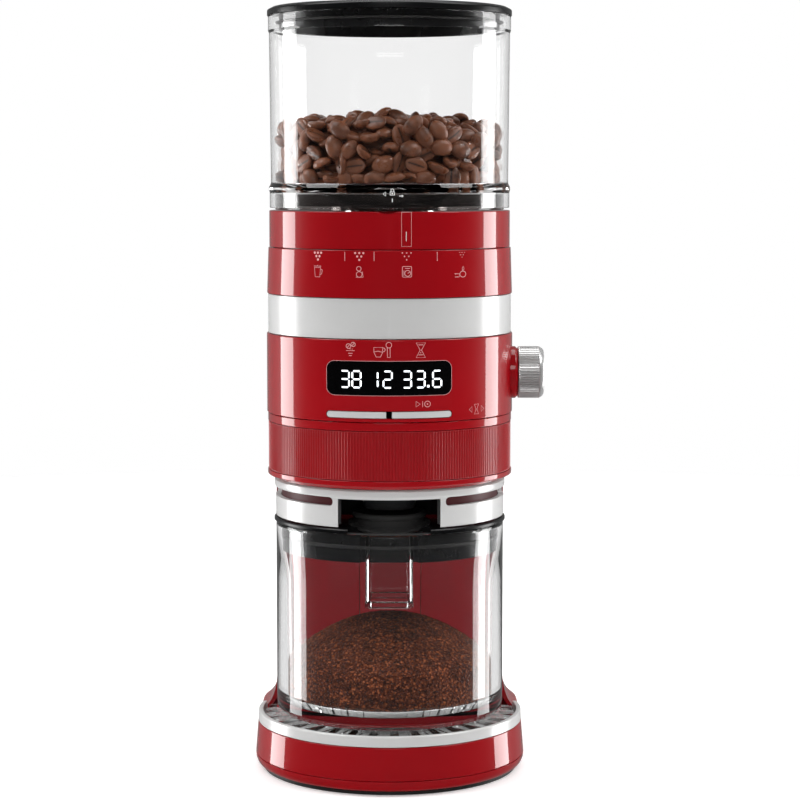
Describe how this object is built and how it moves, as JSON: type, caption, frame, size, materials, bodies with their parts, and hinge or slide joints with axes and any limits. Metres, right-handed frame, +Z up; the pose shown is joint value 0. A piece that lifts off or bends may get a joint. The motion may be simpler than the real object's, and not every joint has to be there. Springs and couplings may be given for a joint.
{
  "type": "burr coffee grinder",
  "caption": "Tall red countertop burr coffee grinder: clear bean hopper with lid, turning grind collar, control panel, side knob and a slide-out clear grounds jar.",
  "frame": {"origin": "on the floor, on the upright axis of the hopper and burrs, at the underside of the base mat", "axes": "+Z up along the burr axis, -Y towards the front with the display, +X towards the side knob"},
  "size_m": [0.1558, 0.1925, 0.409],
  "materials": {
    "red_gloss": "deep red high gloss",
    "red_ribbed": "deep red, fine upright ribs",
    "clear_plastic": "clear polished plastic",
    "clear_glass": "clear polished glass",
    "smoke_plastic": "dark smoke gloss",
    "black_gloss": "black gloss",
    "display_black": "black display window with white digits behind it",
    "rubber": "black soft rubber",
    "silver_trim": "satin silver",
    "steel": "machined steel",
    "brass": "machined brass",
    "nylon": "natural moulded nylon",
    "circuit_board": "green circuit board"
  },
  "bodies": {
    "housing": {"base_mat": "rubber", "base_pan": "red_gloss", "base_shell": "red_gloss", "base_trim_ring": "silver_trim", "jar_tray": "clear_plastic", "cord_gland": "rubber", "base_screw_1": "steel", "base_screw_2": "steel", "base_screw_3": "steel", "base_screw_4": "steel", "column_shell": "red_gloss", "column_front": "red_gloss", "column_panel": "red_gloss", "power_board": "circuit_board", "spout_frame": "silver_trim", "neck_liner": "red_gloss", "spout_bay": "black_gloss", "spout_nozzle": "rubber", "main_housing": "red_gloss", "lower_trim": "red_gloss", "ribbed_sleeve": "red_ribbed", "bottom_trim": "red_gloss", "lower_deck": "black_gloss", "silver_band": "silver_trim", "scale_ring": "red_gloss", "display_lens": "display_black", "display_board": "circuit_board", "knob_boss": "red_gloss", "knob_encoder": "black_gloss", "gear_frame": "steel", "upper_plate": "steel", "lower_bearing": "steel", "upper_bearing": "steel", "motor_can": "steel", "burr_chamber": "black_gloss", "grounds_duct": "black_gloss"},
    "left_button": {"left_button": "silver_trim"},
    "right_button": {"right_button": "silver_trim"},
    "knob": {"control_knob": "silver_trim", "knob_shaft": "steel"},
    "burr_drive": {"burr_shaft": "steel", "inner_burr": "steel", "impeller": "nylon", "burr_gear": "nylon"},
    "idler": {"idler_gear": "nylon"},
    "motor_rotor": {"motor_pinion": "brass"},
    "collar": {"grind_collar": "red_gloss", "burr_carrier": "black_gloss", "outer_burr": "steel"},
    "gate": {"hopper_gate": "smoke_plastic", "gate_shutter": "smoke_plastic"},
    "hopper": {"hopper_shell": "clear_plastic", "hopper_shutter": "smoke_plastic"},
    "lid": {"hopper_lid": "black_gloss", "lid_seal": "rubber"},
    "jar": {"jar_glass": "clear_glass", "jar_lid": "black_gloss", "jar_lid_seal": "rubber", "spout_funnel": "rubber", "jar_chute": "clear_plastic"}
  },
  "joints": [
    {"name": "left_button_press", "type": "slide", "parent": "housing", "child": "left_button", "axis": [0, 1, 0], "range_m": [0, 0.001], "stiffness_N_per_m": 500, "springref_m": -0.001},
    {"name": "right_button_press", "type": "slide", "parent": "housing", "child": "right_button", "axis": [0, 1, 0], "range_m": [0, 0.001], "stiffness_N_per_m": 500, "springref_m": -0.001},
    {"name": "knob_turn", "type": "hinge", "parent": "housing", "child": "knob", "pos_m": [0.0688, 0, 0.2148], "axis": [1, 0, 0], "continuous": true},
    {"name": "burr_spin", "type": "hinge", "parent": "housing", "child": "burr_drive", "pos_m": [0, 0, 0.25], "axis": [0, 0, 1], "continuous": true},
    {"name": "idler_spin", "type": "hinge", "parent": "housing", "child": "idler", "pos_m": [0, 0.0425, 0.22], "axis": [0, 0, 1], "continuous": true},
    {"name": "motor_spin", "type": "hinge", "parent": "housing", "child": "motor_rotor", "pos_m": [0, 0.085, 0.21], "axis": [0, 0, 1], "continuous": true},
    {"name": "grind_adjust", "type": "hinge", "parent": "housing", "child": "collar", "pos_m": [0, 0, 0.29], "axis": [0, 0, 1], "range_deg": [-52, 38]},
    {"name": "hopper_lift", "type": "slide", "parent": "collar", "child": "gate", "axis": [0, 0, 1], "range_m": [0, 0.13]},
    {"name": "hopper_twist", "type": "hinge", "parent": "gate", "child": "hopper", "pos_m": [0, 0, 0.3], "axis": [0, 0, 1], "range_deg": [0, 45]},
    {"name": "lid_lift", "type": "slide", "parent": "hopper", "child": "lid", "axis": [0, 0, 1], "range_m": [0, 0.08]},
    {"name": "jar_slide", "type": "slide", "parent": "housing", "child": "jar", "axis": [0, -1, 0], "range_m": [0, 0.15]}
  ],
  "couplings": [
    {"joint": "idler_spin", "follows": "motor_spin", "ratio": -0.33333},
    {"joint": "burr_spin", "follows": "motor_spin", "ratio": 0.11111}
  ]
}
